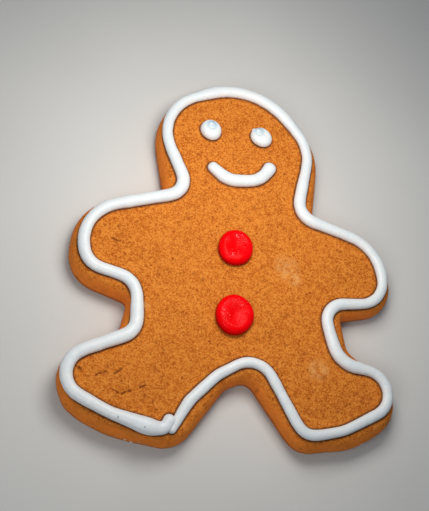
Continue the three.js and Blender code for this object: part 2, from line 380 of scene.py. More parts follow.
def build_skin_group():
    """Dimples and a slight unevenness of gloss on something that set while it was wet."""
    inputs = [
        ("Place", "NodeSocketVector", None),
        ("Broad", "NodeSocketFloat", 3.0),
        ("Fine", "NodeSocketFloat", 0.5),
        ("Gloss", "NodeSocketFloat", 0.3),
        ("Unevenness", "NodeSocketFloat", 0.1),
    ]
    outputs = [("Height", "NodeSocketFloat", None), ("Roughness", "NodeSocketFloat", None)]
    tree, group_in, group_out = new_group("skin", "ShaderNodeTree", inputs, outputs)
    scales = [math_node(tree, "DIVIDE", 1 / MM, group_in[key]) for key in ("Broad", "Fine")]
    waves = [
        add_node(tree, "ShaderNodeTexNoise",
                 {"Vector": group_in["Place"], "Scale": scale, "Detail": 1.0}).outputs[0]
        for scale in scales
    ]
    height = plus(tree, waves[0], times(tree, waves[1], 0.35))
    swing = times(tree, minus(tree, waves[0], 0.5), group_in["Unevenness"])
    tree.links.new(height, group_out["Height"])
    tree.links.new(plus(tree, swing, group_in["Gloss"]), group_out["Roughness"])
    return tree


SKIN_GROUP = build_skin_group()
print("shader group:", SKIN_GROUP.name, "with", len(SKIN_GROUP.nodes), "nodes")

# %% Material helpers


def new_material(name):
    """A material with its tree, its shader and the object coordinates."""
    material = bpy.data.materials.new(name)
    material.use_nodes = True
    tree = material.node_tree
    shader = tree.nodes["Principled BSDF"]
    place = add_node(tree, "ShaderNodeTexCoord").outputs["Object"]
    return material, tree, shader, place


def use_group(tree, group, values):
    """Places a shader group in a material."""
    return add_node(tree, "ShaderNodeGroup", values, node_tree=group).outputs


def bump_node(tree, height, depth):
    """The normal of a surface with a height, in parts of depth millimetres."""
    values = {"Height": height, "Distance": depth * MM}
    return add_node(tree, "ShaderNodeBump", values).outputs["Normal"]


def read_attribute(tree, name):
    """A number stored on the mesh."""
    return add_node(tree, "ShaderNodeAttribute", attribute_name=name).outputs["Fac"]


# %% [markdown]
# ## Gingerbread
# The face of the biscuit is a matt, warm brown. Its side is smoother and gets darker towards
# the tray, partly baked browning and partly painted shade at its foot, and the underside is
# brown and even. Three marks come from the mesh, and each is darkened with painted shade:
# fissures, a rim in the crease along the icing, and pores. A little flour is left on the face in
# a few places. All of it is one material, so that the crumb grains share it.

# %% Gingerbread material
SIDE_COLOUR = (1.0, 0.268, 0.034, 1)
TRAY_BROWN_AND_SHADE_COLOUR = (0.24, 0.055, 0.010, 1)
FLOUR_COLOUR = (0.89, 0.46, 0.155, 1)
# The marks stored on the mesh, all of them painted shade: inside fissures and pores, and in the
# crease along the icing. How strongly each one shows, and its colour.
SHADE_MARKS = {
    "damp_rim": (0.9, (0.07, 0.020, 0.008, 1)),
    "pore": (0.7, (0.22, 0.05, 0.008, 1)),
    "fissure": (0.88, (0.17, 0.042, 0.006, 1)),
}
# Heights between which a colour comes in: the side's, the tray's darker brown with painted shade at
# the foot of the side, and, on the face, the flour's.
SIDE_FADE = (TOP - 0.2 * MM, TOP - 1.9 * MM)
TRAY_BROWN_AND_SHADE_FADE = (4.4 * MM, 2.2 * MM)
FLOUR_FADE = (TOP - 1.5 * MM, TOP - 0.5 * MM)
# Middle x, middle y and radius in millimetres, seen from above.
FLOUR_SPOTS = [(15.4, -3.6, 5.5), (17.9, -6.8, 3.5), (24.9, -34.9, 4.5), (-27.4, -20.3, 1.9)]


def spot_mask(tree, place, spots):
    """A mask that is one at the middle of each spot and falls softly to zero at its radius."""
    flat = add_node(tree, "ShaderNodeVectorMath", {0: place, 1: (1, 1, 0)},
                    operation="MULTIPLY").outputs[0]
    mask = 0.0
    for x, y, radius in spots:
        distance = add_node(tree, "ShaderNodeVectorMath", {0: flat, 1: (x * MM, y * MM, 0)},
                            operation="DISTANCE").outputs["Value"]
        near = ramp_node(tree, distance, radius * MM, 0.2 * radius * MM)
        mask = math_node(tree, "MAXIMUM", near, mask)
    return mask


def build_gingerbread():
    material, tree, shader, place = new_material("gingerbread")
    crumb = use_group(tree, CRUMB_GROUP, {"Place": place})
    height = part_of(tree, place, "Z")
    patchy = ramp_node(tree, noise_node(tree, place, 4.0), 0.35, 0.65, 0.6, 0.98)
    side = ramp_node(tree, height, *SIDE_FADE, 0.0, patchy)
    colour = mix_node(tree, side, crumb["Colour"], SIDE_COLOUR)
    # Darker towards the tray: partly baked browning, partly painted shade at the foot of the side.
    tray_brown_and_shade = ramp_node(tree, height, *TRAY_BROWN_AND_SHADE_FADE, 0.0, 0.62)
    colour = mix_node(tree, tray_brown_and_shade, colour, TRAY_BROWN_AND_SHADE_COLOUR)
    # Painted shade in the fissures, in the pores and in the crease along the icing.
    for mark, (strength, shade_colour) in SHADE_MARKS.items():
        shown = times(tree, read_attribute(tree, mark), strength)
        colour = mix_node(tree, shown, colour, shade_colour)
    cloud = ramp_node(tree, noise_node(tree, place, 2.2, detail=3.0, roughness=0.7), 0.32, 0.64)
    dust = times(tree, spot_mask(tree, place, FLOUR_SPOTS), cloud)
    dust = times(tree, dust, ramp_node(tree, height, *FLOUR_FADE, 0.0, 0.56))
    colour = mix_node(tree, dust, colour, FLOUR_COLOUR)
    fill(tree, shader, {
        "Base Color": colour, "Roughness": crumb["Roughness"], "Specular IOR Level": 0.15,
        "Normal": bump_node(tree, crumb["Height"], 0.25)})
    return material


gingerbread = build_gingerbread()
print("material:", gingerbread.name, "with", len(gingerbread.node_tree.nodes), "nodes")

# %% [markdown]
# ## Icing and sugar
# Royal icing sets to a satin white, and its dimples catch the light. The eyes carry a cool
# blue painted shade in the dent round their peaks. The buttons are thick red sugar over an
# uneven skin, with painted shade in a darker red at their drawn-in foot. A thin clear coat with
# its own low roughness gives the saturated red its small wet lights, and a few pale sparks are
# painted highlights.

# %% Icing material
ICING_COLOURS = ((0.83, 0.875, 0.905, 1), (0.87, 0.895, 0.91, 1))
ICING_SHADE_COLOUR = (0.36, 0.56, 0.68, 1)
ICING_PIT_SHADE_COLOUR = (0.22, 0.27, 0.28, 1)
# Two small pits in the line, drawn only as painted shade: middle x, middle y and radius in
# millimetres.
ICING_PITS = [(-33.3, -53.3, 0.45), (-26.0, -55.6, 0.42)]


def build_icing():
    material, tree, shader, place = new_material("royal_icing")
    skin = use_group(tree, SKIN_GROUP, {
        "Place": place, "Broad": 2.2, "Fine": 0.45, "Gloss": 0.42, "Unevenness": 0.2})
    tint = ramp_node(tree, noise_node(tree, place, 6.0), 0.35, 0.65)
    colour = mix_node(tree, tint, *ICING_COLOURS)
    # Painted cool shade in the dents of the eyes.
    colour = mix_node(tree, read_attribute(tree, "painted_shade"), colour, ICING_SHADE_COLOUR)
    # Painted shade where two small pits sit in the icing.
    pit_shade = times(tree, spot_mask(tree, place, ICING_PITS), 0.7)
    colour = mix_node(tree, pit_shade, colour, ICING_PIT_SHADE_COLOUR)
    fill(tree, shader, {
        "Base Color": colour, "Roughness": skin["Roughness"], "Subsurface Weight": 0.25,
        "Subsurface Radius": (1.0, 0.9, 0.75), "Subsurface Scale": 0.8 * MM,
        "Normal": bump_node(tree, skin["Height"], 0.10)})
    return material


royal_icing = build_icing()
print("material:", royal_icing.name, "with", len(royal_icing.node_tree.nodes), "nodes")

# %% Sugar material
SUGAR_COLOURS = ((0.90, 0.0005, 0.002, 1), (1.0, 0.001, 0.004, 1))
SUGAR_SHADE_COLOUR = (0.50, 0.0005, 0.0015, 1)
SPARKLE_COLOUR = (1.0, 0.42, 0.45, 1)
# Where small pale sparkles of painted highlight show: middle x, middle y and radius in millimetres.
SPARKLE_SPOTS = [(-3.7, -20.6, 2.3), (0.8, -16.9, 1.8), (-0.4, 3.8, 1.9), (-1.8, -1.7, 1.7)]


def build_sugar():
    material, tree, shader, place = new_material("red_sugar")
    skin = use_group(tree, SKIN_GROUP, {
        "Place": place, "Broad": 3.4, "Fine": 0.5, "Gloss": 0.30, "Unevenness": 0.2})
    shade = ramp_node(tree, noise_node(tree, place, 4.0), 0.3, 0.7)
    colour = mix_node(tree, shade, *SUGAR_COLOURS)
    # Painted shade in a darker red on the drawn-in foot of the buttons.
    colour = mix_node(tree, read_attribute(tree, "painted_shade"), colour, SUGAR_SHADE_COLOUR)
    # Painted highlights: small pale sparkles on the sugar.
    sparkles = times(tree, dots_node(tree, place, 0.6, (0.42, 0.15), (0.45, 0.8)),
                   spot_mask(tree, place, SPARKLE_SPOTS))
    colour = mix_node(tree, sparkles, colour, SPARKLE_COLOUR)
    fill(tree, shader, {
        "Base Color": colour, "Roughness": skin["Roughness"], "Specular IOR Level": 0.04,
        "Coat Weight": 0.035, "Coat Roughness": 0.10,
        "Normal": bump_node(tree, skin["Height"], 0.20)})
    return material


red_sugar = build_sugar()
print("material:", red_sugar.name, "with", len(red_sugar.node_tree.nodes), "nodes")

# %% Floor material
floor_paint, floor_tree, floor_shader, floor_place = new_material("floor_paint")
floor_shade = ramp_node(floor_tree, noise_node(floor_tree, floor_place, 60.0), 0.3, 0.7)
floor_colour = mix_node(floor_tree, floor_shade, (0.70, 0.69, 0.67, 1), (0.73, 0.72, 0.70, 1))
fill(floor_tree, floor_shader, {"Base Color": floor_colour, "Roughness": 0.8})
floor_mesh.materials.append(floor_paint)
print("material:", floor_paint.name, "with", len(floor_tree.nodes), "nodes")

# %% [markdown]
# ## Reading a piped line
# The plain model holds each piped line as a faceted bead. Its ridge is where one facet leans
# left and its neighbour leans right. Following that ridge from end to end gives the way that the
# nozzle went, and the ridge's height gives the width, because the bead is always the same part
# as high as it is wide.

# %% Follow the ridge of a plain bead
# A bead's height over its width, the least lean of a ridge's two facets, and how close the rings
# of a rounded tip stand in parts of their width.
BEAD_RISE = 0.52
LEAN = 0.15
TIP_SPACING = 0.25


def ridge_edges(shape):
    """Edges between two upper facets that lean to opposite sides of the edge."""
    for edge in shape.edges:
        if len(edge.link_faces) == 2:
            along = (edge.verts[1].co - edge.verts[0].co).normalized()
            side = Vector((-along.y, along.x, 0))
            leans = sorted(face.normal.dot(side) for face in edge.link_faces)
            upper = min(face.normal.z for face in edge.link_faces)
            if edge.is_convex and upper > 0.3 and leans[0] < -LEAN and leans[1] > LEAN:
                yield edge


def without_tip(rows):
    """Drops the close rings that round off the far end of a bead."""
    while True:
        last, inner = rows[-1], rows[-2]
        gap = math.hypot(*(last[:2] - inner[:2]))
        if last[2] >= inner[2] or gap > TIP_SPACING * inner[2]:
            return rows
        rows = rows[:-1]


def read_ridge(node_name):
    """The points of a piped line in order, as rows of x, y and width."""
    shape = bmesh.new()
    shape.from_mesh(merged_copy(node_name))
    shape.normal_update()
    links = {}
    for edge in ridge_edges(shape):
        a, b = edge.verts
        links.setdefault(a, []).append(b)
        links.setdefault(b, []).append(a)
    ends = [v for v in links if len(links[v]) == 1]
    best = []
    for start in ends:
        route, previous = [start], None
        while True:
            onward = [v for v in links[route[-1]] if v is not previous]
            if not onward or len(route) > len(links):
                break
            previous = route[-1]
            route.append(onward[0])
        best = max(best, route, key=len)
    rows = np.array([(v.co.x, v.co.y, (v.co.z - TOP) / BEAD_RISE) for v in best])
    shape.free()
    return without_tip(without_tip(rows)[::-1])[::-1]


# %% Space a route's points evenly
STEP = 0.3 * MM


def even_points(rows, softness):
    """The same route with points a STEP apart, its corners softened."""
    gaps = np.hypot(*np.diff(rows[:, :2], axis=0).T)
    along = np.concatenate([[0], np.cumsum(gaps)])
    count = int(along[-1] / STEP) + 1
    stations = np.linspace(0, along[-1], count)
    even = np.column_stack([np.interp(stations, along, column) for column in rows.T])
    for _ in range(softness):
        even[1:-1] = (even[:-2] + 2 * even[1:-1] + even[2:]) / 4
    return even


icing_route = even_points(read_ridge("icing_outline"), softness=24)
smile_route = even_points(read_ridge("smile"), softness=14)
for label, route in (("icing line", icing_route), ("smile", smile_route)):
    length = np.hypot(*np.diff(route[:, :2], axis=0).T).sum() / MM
    print(label, round(length), "mm long,", round(route[:, 2].min() / MM, 1), "to",
          round(route[:, 2].max() / MM, 1), "mm wide")

# %% [markdown]
# ## Piping
# A piped line is a section swept along a path, which is what Geometry Nodes do well. The recipe
# takes the path with a width stored on each point, sweeps a bead section along it, and lets slow
# noise make it swell and thin as a hand does. The section is widest a little above the biscuit,
# so that a fine dark crease runs along its foot. It reaches below the surface, where the biscuit
# hides it.

# %% The piping recipe
# The section's sides, and in parts of its half width how high it is widest and how deep it goes.
SECTION_SIDES = 22
SECTION_LIFT = 0.24
SECTION_DEPTH = 0.62


def build_piping_tree():
    inputs = [
        ("Path", "NodeSocketGeometry", None),
        ("Sides", "NodeSocketInt", SECTION_SIDES),
        ("Rise", "NodeSocketFloat", 2 * BEAD_RISE),
        ("Swell", "NodeSocketFloat", 0.04),
        ("Lumps", "NodeSocketFloat", 0.10 * MM),
        ("Seed", "NodeSocketFloat", 0.0),
        ("Finish", "NodeSocketMaterial", None),
    ]
    outputs = [("Bead", "NodeSocketGeometry", None)]
    tree, group_in, group_out = new_group("piping", "GeometryNodeTree", inputs, outputs)
    place = add_node(tree, "GeometryNodeInputPosition").outputs[0]
    offset = add_node(tree, "ShaderNodeCombineXYZ", {"Z": group_in["Seed"]}).outputs[0]
    shifted = add_node(tree, "ShaderNodeVectorMath", {0: place, 1: offset},
                       operation="ADD").outputs[0]

    # The path's radius is half its stored width, with the hand's slow swelling.
    curve = add_node(tree, "GeometryNodeMeshToCurve", {"Mesh": group_in["Path"]}).outputs[0]
    width = add_node(tree, "GeometryNodeInputNamedAttribute", {"Name": "width"},
                     data_type="FLOAT").outputs["Attribute"]
    wave = wave_node(tree, shifted, 7.0)
    swell = plus(tree, times(tree, wave, times(tree, group_in["Swell"], 4.0)), 1.0)
    radius = times(tree, times(tree, width, 0.5), swell)
    curve = add_node(tree, "GeometryNodeSetCurveNormal", {"Curve": curve}, mode="Z_UP").outputs[0]

    # The section is a circle of radius one, pressed flatter above and below its widest line.
    # A swept section's own Y points down on a path whose normals lie flat, so it is turned over.
    circle = add_node(tree, "GeometryNodeCurvePrimitiveCircle",
                      {"Resolution": group_in["Sides"], "Radius": 1.0}).outputs[0]
    parts = add_node(tree, "ShaderNodeSeparateXYZ", {0: place}).outputs
    upper = minus(tree, group_in["Rise"], SECTION_LIFT)
    above = times(tree, math_node(tree, "MAXIMUM", parts["Y"], 0.0), upper)
    below = times(tree, math_node(tree, "MINIMUM", parts["Y"], 0.0), SECTION_DEPTH + SECTION_LIFT)
    lifted = plus(tree, plus(tree, above, below), SECTION_LIFT)
    turned = [times(tree, value, -1.0) for value in (parts["X"], lifted)]
    section_place = add_node(tree, "ShaderNodeCombineXYZ", {"X": turned[0], "Y": turned[1]})
    section = add_node(tree, "GeometryNodeSetPosition",
                       {"Geometry": circle, "Position": section_place.outputs[0]}).outputs[0]
    bead = add_node(tree, "GeometryNodeCurveToMesh", {
        "Curve": curve, "Profile Curve": section, "Scale": radius, "Fill Caps": True}).outputs[0]

    # Small lumps push the skin in and out.
    lump = times(tree, times(tree, wave_node(tree, shifted, 2.6), 2.0), group_in["Lumps"])
    bead = push_out(tree, bead, lump)
    end_recipe(tree, bead, group_in["Finish"], group_out["Bead"])
    return tree


PIPING_TREE = build_piping_tree()
print("piping recipe has", len(PIPING_TREE.nodes), "nodes")

# %% Round the ends and pipe
# How many points round off an end, and how far round the ball the first and the last one lie.
END_STEPS = 9
END_ANGLES = (10, 88)


def round_ends(route):
    """Adds points past both ends, where the width falls away as on a ball."""
    angles = np.radians(np.linspace(*END_ANGLES, END_STEPS))
    tips = []
    for end, inner in ((route[0], route[4]), (route[-1], route[-5])):
        way = (end[:2] - inner[:2]) / np.hypot(*(end[:2] - inner[:2]))
        reach = np.outer(np.sin(angles) * end[2] / 2, way)
        tips.append(np.column_stack([end[:2] + reach, end[2] * np.cos(angles)]))
    return np.vstack([tips[0][::-1], route, tips[1]])


def path_mesh(name, route):
    """An edge path on the biscuit's face that carries the width of the bead."""
    count = len(route)
    mesh = bpy.data.meshes.new(name)
    points = [(x, y, TOP) for x, y, _ in route]
    mesh.from_pydata(points, [(i, i + 1) for i in range(count - 1)], [])
    mesh.attributes.new("width", "FLOAT", "POINT").data.foreach_set("value", route[:, 2].copy())
    return mesh


def pipe(name, route, seed, lumps=0.10):
    """Pipes icing along a route."""
    mesh = path_mesh(name + "_path", round_ends(route))
    return run_recipe(name, mesh, PIPING_TREE, {
        "Sides": SECTION_SIDES, "Rise": 2 * BEAD_RISE, "Swell": 0.04,
        "Lumps": lumps * MM, "Seed": seed, "Finish": royal_icing})


icing_line = pipe("icing_line", icing_route, seed=0.0)
icing_smile = pipe("icing_smile", smile_route, seed=0.5, lumps=0.14)
for bead in (icing_line, icing_smile):
    heights = [v.co.z for v in bead.data.vertices]
    print(bead.name, len(bead.data.polygons), "faces, top at", round(max(heights) / MM, 2), "mm")

# %% [markdown]
# ## Fissures
# Gingerbread dries as it bakes, and its skin tears in short, crooked lines. Most lie on the
# left foot, and a few on the hands. Each one is drawn as a line of points on the face, and a
# recipe later presses the surface down along it. Small random ones are scattered between the
# named ones with a fixed seed.

# %% Draw the fissures
# Each is a list of (x, y) in millimetres from the middle of the cookie.
NAMED_FISSURES = [
    [(-40.0, -41.8), (-39.2, -41.2), (-38.3, -41.1), (-37.2, -40.4)],
    [(-34.9, -41.0), (-34.0, -40.3), (-33.1, -39.4)],
    [(-35.9, -45.1), (-34.6, -45.7), (-33.4, -46.3)],
    [(-32.5, -46.4), (-31.3, -45.6), (-29.9, -45.6)],
    [(-45.5, -39.9), (-44.2, -40.4)],
    [(-27.5, -44.2), (-26.1, -43.5)],
    [(-38.3, -0.4), (-37.0, -0.8), (-35.9, -1.1)],
]
# The length of one stroke of a small fissure.
FISSURE_STEP = 0.55
# Where small ones gather: middle x, middle y, spread and how many.
FISSURE_PATCHES = [
    (-36.0, -43.0, 6.5, 12), (-38.0, -1.0, 5.0, 6), (36.0, -42.0, 7.0, 7),
    (24.0, -49.0, 5.0, 4), (38.0, -4.0, 6.0, 4), (0.0, 46.0, 12.0, 4), (0.0, -6.0, 20.0, 7),
]


def small_fissures(seed):
    """Short crooked lines scattered over the patches."""
    chance = random.Random(seed)
    lines = []
    for x, y, spread, count in FISSURE_PATCHES:
        for _ in range(count):
            point = Vector((chance.gauss(x, spread / 2), chance.gauss(y, spread / 2)))
            heading = chance.uniform(-0.7, 0.7)
            line = [tuple(point)]
            for _ in range(chance.choice((1, 2, 2, 3))):
                heading += chance.uniform(-0.6, 0.6)
                point = point + Vector((math.cos(heading), math.sin(heading))) * FISSURE_STEP
                line.append(tuple(point))
            lines.append(line)
    return lines


def lines_mesh(name, lines):
    """All lines as edges of one mesh on the biscuit's face."""
    points, edges = [], []
    for line in lines:
        edges += [(len(points) + i, len(points) + i + 1) for i in range(len(line) - 1)]
        points += [(x * MM, y * MM, TOP) for x, y in line]
    mesh = bpy.data.meshes.new(name)
    mesh.from_pydata(points, edges, [])
    return mesh


minor_fissures = small_fissures(seed=11)
named_lines = place_mesh("named_fissure_lines", lines_mesh("named_fissures", NAMED_FISSURES))
minor_lines = place_mesh("minor_fissure_lines", lines_mesh("minor_fissures", minor_fissures))
print(len(NAMED_FISSURES), "named fissures and", len(minor_fissures), "small ones")

# %% [markdown]
# ## Fine dough
# The plain biscuit has flat facets. A voxel remesh turns it into an even net of half-millimetre
# squares, and a little smoothing takes the facets out of the shoulder. Fissures are finer than
# that, so the net is cut smaller just along them.

# %% Remesh the biscuit and cut it finer along the fissures
VOXEL = 0.5 * MM
FINE_REACH = 0.75 * MM


def fine_net():
    """The biscuit as an even net, smoothed."""
    piece = place_mesh("dough_net", merged_copy("biscuit"))
    remesh = piece.modifiers.new("net", "REMESH")
    remesh.mode = "VOXEL"
    remesh.voxel_size = VOXEL
    smooth = piece.modifiers.new("smooth", "SMOOTH")
    smooth.factor = 0.5
    smooth.iterations = 7
    mesh = bake_modifiers(piece).data
    bpy.data.objects.remove(piece)
    return mesh


def nearest_distances(points, lines):
    """The distance in plan from each point to the nearest of the lines."""
    nearest = np.full(len(points), 1e9)
    for line in lines:
        corners = np.array(line) * MM
        for a, b in zip(corners[:-1], corners[1:]):
            span = b - a
            t = np.clip(((points - a) @ span) / (span @ span), 0, 1)
            nearest = np.minimum(nearest, np.hypot(*(points - a - np.outer(t, span)).T))
    return nearest


def cut_finer(mesh, lines):
    """Cuts the net's edges in three where they lie close to a line on the face."""
    shape = bmesh.new()
    shape.from_mesh(mesh)
    points = np.array([v.co for v in shape.verts])
    close = (nearest_distances(points[:, :2], lines) < FINE_REACH) & (points[:, 2] > TOP - 1 * MM)
    edges = [e for e in shape.edges if close[e.verts[0].index] and close[e.verts[1].index]]
    bmesh.ops.subdivide_edges(shape, edges=edges, cuts=2, use_grid_fill=True)
    shape.to_mesh(mesh)
    shape.free()
    return mesh


dough_net = cut_finer(fine_net(), NAMED_FISSURES + minor_fissures)
print("dough net:", len(dough_net.vertices), "points and", len(dough_net.polygons), "faces")

# %% [markdown]
# ## Baked surface
# Baking gives the face slow swells, a fine grain and scattered pores, and tears it along the
# fissures. It also lets the side swell out a little at the soles. Along the foot of the icing and
# the drops, a thin rim is marked for painted shade. The recipe moves each point of the net along
# its normal, and it stores each mark on the mesh so that the material can paint shade into it.

# %% The baking recipe
# Where the side swells out a little: middle x, middle y and radius in millimetres.
SIDE_SWELLS = [(-45.5, -52.0, 7.0), (-31.0, -58.0, 8.5), (22.0, -58.5, 7.5), (39.5, -54.5, 8.0)]
# How far each effect moves the surface, how far from the icing its rim of painted shade
# reaches, and how much of the rim is darkest.
BAKED_SIZES = {"Swells": 0.16 * MM, "Side swells": 0.45 * MM, "Grain": 0.07 * MM,
               "Pores": 0.22 * MM, "Tears": 0.55 * MM, "Crease shade": 0.8 * MM}
CREASE_SHADE_SOLID = 0.25 * MM


def build_baking_tree():
    inputs = [("Dough", "NodeSocketGeometry", None)]
    inputs += [(name, "NodeSocketFloat", size) for name, size in BAKED_SIZES.items()]
    inputs += [(name, "NodeSocketObject", None)
               for name in ("Named tears", "Small tears", "Icing", "Smile", "Drops")]
    inputs.append(("Finish", "NodeSocketMaterial", None))
    outputs = [("Biscuit", "NodeSocketGeometry", None)]
    tree, group_in, group_out = new_group("baking", "GeometryNodeTree", inputs, outputs)
    place = add_node(tree, "GeometryNodeInputPosition").outputs[0]

    def distance_to(name, element):
        target = add_node(tree, "GeometryNodeObjectInfo", {"Object": group_in[name]})
        near = add_node(tree, "GeometryNodeProximity",
                        {0: target.outputs["Geometry"], "Sample Position": place},
                        target_element=element)
        return near.outputs["Distance"]

    ragged = ramp_node(tree, noise_node(tree, place, 0.9, detail=2.0), 0.35, 0.65)
    wide = plus(tree, times(tree, ragged, 0.48 * MM), 0.12 * MM)
    thin = plus(tree, times(tree, ragged, 0.16 * MM), 0.10 * MM)
    deep_tear = ramp_node(tree, distance_to("Named tears", "EDGES"), wide, 0.04 * MM)
    small_tear = ramp_node(tree, distance_to("Small tears", "EDGES"), thin, 0.02 * MM, 0.0, 0.55)
    broken = ramp_node(tree, noise_node(tree, place, 0.6, detail=1.0), 0.38, 0.52, 0.45, 1.0)
    tear = times(tree, math_node(tree, "MAXIMUM", deep_tear, small_tear), broken)

    pore = dots_node(tree, place, 2.6, (0.22, 0.06), (0.62, 0.75))

    # A rim of painted shade in the crease along the foot of the icing, the smile and the eyes.
    rim = math_node(tree, "MINIMUM", distance_to("Icing", "FACES"), distance_to("Smile", "FACES"))
    rim = math_node(tree, "MINIMUM", distance_to("Drops", "FACES"), rim)
    crease_shade = ramp_node(tree, rim, group_in["Crease shade"], CREASE_SHADE_SOLID)

    swell = times(tree, wave_node(tree, place, 16.0), 2.0)
    grain = times(tree, wave_node(tree, place, 1.3, detail=2.0), 2.0)
    height = times(tree, swell, group_in["Swells"])
    height = plus(tree, height, times(tree, grain, group_in["Grain"]))
    height = minus(tree, height, times(tree, pore, group_in["Pores"]))
    height = minus(tree, height, times(tree, tear, group_in["Tears"]))

    # The side swells outward only where it is steep.
    normal = add_node(tree, "GeometryNodeInputNormal").outputs[0]
    upward = math_node(tree, "ABSOLUTE", part_of(tree, normal, "Z"))
    steep = ramp_node(tree, upward, 0.8, 0.2)
    swollen = times(tree, spot_mask(tree, place, SIDE_SWELLS), steep)
    height = plus(tree, height, times(tree, swollen, group_in["Side swells"]))

    # The underside stays flat on the table: nothing is pushed out below it.
    level = part_of(tree, place, "Z")
    height = times(tree, height, ramp_node(tree, level, 0.05 * MM, 1.5 * MM))

    shape = group_in["Dough"]
    for name, value in (("fissure", tear), ("pore", pore), ("damp_rim", crease_shade)):
        shape = add_node(tree, "GeometryNodeStoreNamedAttribute",
                         {"Geometry": shape, "Name": name, "Value": value},
                         data_type="FLOAT", domain="POINT").outputs[0]
    shape = push_out(tree, shape, height)
    end_recipe(tree, shape, group_in["Finish"], group_out["Biscuit"])
    return tree


BAKING_TREE = build_baking_tree()
print("baking recipe has", len(BAKING_TREE.nodes), "nodes")

# %% Bake the biscuit
plain_drops = place_mesh("plain_drops", merged_copy("eye_left", "eye_right"))
baked_biscuit = run_recipe("baked_biscuit", dough_net, BAKING_TREE, {
    **BAKED_SIZES, "Named tears": named_lines, "Small tears": minor_lines,
    "Icing": icing_line, "Smile": icing_smile, "Drops": plain_drops, "Finish": gingerbread})
for guide in (plain_drops, named_lines, minor_lines):
    bpy.data.objects.remove(guide)
print("baked biscuit:", len(baked_biscuit.data.polygons), "faces")

# %% [markdown]
# ## Drops of icing and sugar
# The eyes and the buttons are drops that spread into rough ovals. Each is a disc of rings whose
# height comes from a formula, so one function makes them all, with a small function for each
# kind of top. The oval's centre, its two half-lengths and its turn are measured from the plain
# part.

# %% Measure the ovals


def measure_oval(node_name):
    """Centre, half-lengths and turn of a part's footprint, in metres and radians."""
    points = np.array([v.co[:2] for v in merged_copy(node_name).vertices])
    low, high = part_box(node_name)
    centre = np.array([(low.x + high.x) / 2, (low.y + high.y) / 2])
    spokes = np.radians(np.arange(0, 180, 2))
    ways = np.column_stack([np.cos(spokes), np.sin(spokes)])
    reach = np.abs((points - centre) @ ways.T).max(axis=0)
    longest = int(reach.argmax())
    return {"centre": centre, "half": (reach.max(), reach.min()), "turn": spokes[longest],
            "height": high.z - low.z}


ovals = {name: measure_oval(name)
         for name in ("eye_left", "eye_right", "button_upper", "button_lower")}
for name, oval in ovals.items():
    print(name, "is", " x ".join(str(round(2 * half / MM, 1)) for half in oval["half"]),
          "mm and", round(oval["height"] / MM, 1), "mm high")

# %% Build a drop
DROP_RINGS = 30
DROP_SPOKES = 72
# The drawn-in foot from below upwards: how high it is, and its part of the radius. The first
# heights are metres from the biscuit's face, and the next are parts of the drop's height.
ROOT_RINGS = ((-0.5 * MM, 0.86), (0.0, 0.90))
FOOT_RINGS = ((0.06, 0.95), (0.14, 0.98))
TAIL_WIDTH = 0.16


def build_drop(name, oval, surface, material, wobble, seed, tail=None, foot_shade=0.0):
    """A drop: a domed top on a foot that is drawn in, closed underneath the biscuit's face.

    surface gives the height of the top at a place and how much painted shade it has there.
    tail is an optional point of the outline, as its angle in degrees and its size. foot_shade is
    how much painted shade the foot has.
    """
    chance = random.Random(seed)
    phases = [chance.uniform(0, 2 * math.pi) for _ in range(3)]
    points, painted_shades, faces = [], [], []
    turn = oval["turn"]

    def edge_at(angle):
        waves = sum(math.sin((i + 2) * angle + phase) / (i + 2)
                    for i, phase in enumerate(phases))
        edge = 1 + wobble * waves
        if tail:
            away = (angle + turn - math.radians(tail[0]) + math.pi) % (2 * math.pi) - math.pi
            edge += tail[1] * math.exp(-(away / TAIL_WIDTH) ** 2)
        return edge

    def add_point(x, y, radius, level=None):
        height, painted_shade = surface(x, y, radius) if level is None else (level, foot_shade)
        points.append((
            oval["centre"][0] + x * math.cos(turn) - y * math.sin(turn),
            oval["centre"][1] + x * math.sin(turn) + y * math.cos(turn), TOP + height))
        painted_shades.append(painted_shade)

    def add_ring(radius, level=None):
        start = len(points)
        for k in range(DROP_SPOKES):
            angle = 2 * math.pi * k / DROP_SPOKES
            reach = radius * (1 + (edge_at(angle) - 1) * radius ** 2)
            add_point(reach * math.cos(angle) * oval["half"][0],
                      reach * math.sin(angle) * oval["half"][1], radius, level)
        return start

    rings = [add_ring(radius, level) for level, radius in ROOT_RINGS]
    rings += [add_ring(radius, part * oval["height"]) for part, radius in FOOT_RINGS]
    rings += [add_ring(math.cos(math.pi / 2 * k / DROP_RINGS)) for k in range(DROP_RINGS)]
    apex = len(points)
    add_point(0.0, 0.0, 0.0)
    for k in range(DROP_SPOKES):
        n = (k + 1) % DROP_SPOKES
        for lower, upper in zip(rings, rings[1:]):
            faces.append((lower + k, lower + n, upper + n, upper + k))
        faces.append((rings[-1] + k, rings[-1] + n, apex))
    faces.append(tuple(reversed(range(DROP_SPOKES))))
    mesh = bpy.data.meshes.new(name)
    mesh.from_pydata(points, [], faces)
    mesh.polygons.foreach_set("use_smooth", [True] * len(mesh.polygons))
    mesh.attributes.new("painted_shade", "FLOAT", "POINT").data.foreach_set("value", painted_shades)
    mesh.materials.append(material)
    return place_mesh(name, mesh)


def hump(x, y, centre, radius):
    """A bell of height one at a centre, radius millimetres wide."""
    dx, dy = x / MM - centre[0], y / MM - centre[1]
    return math.exp(-(dx * dx + dy * dy) / radius ** 2)


# %% [markdown]
# An eye is a full round drop. As the nozzle leaves, it pulls up a little peak inside a shallow
# dent above the middle. A button is a thick disc with a rounded rim and a sunken, slightly lumpy
# middle.

# %% The top of an eye
# The rim's height, as a part of the drop's.
EYE_RIM = 0.22
# The groove round the peak, the dent inside it and the dot on top, all in millimetres.
GROOVE_RADIUS = 1.4
GROOVE_WIDTH = 0.45
DENT_RADIUS = 1.5
DOT_SHIFT = (-0.3, 0.4)
DOT_RADIUS = 0.55


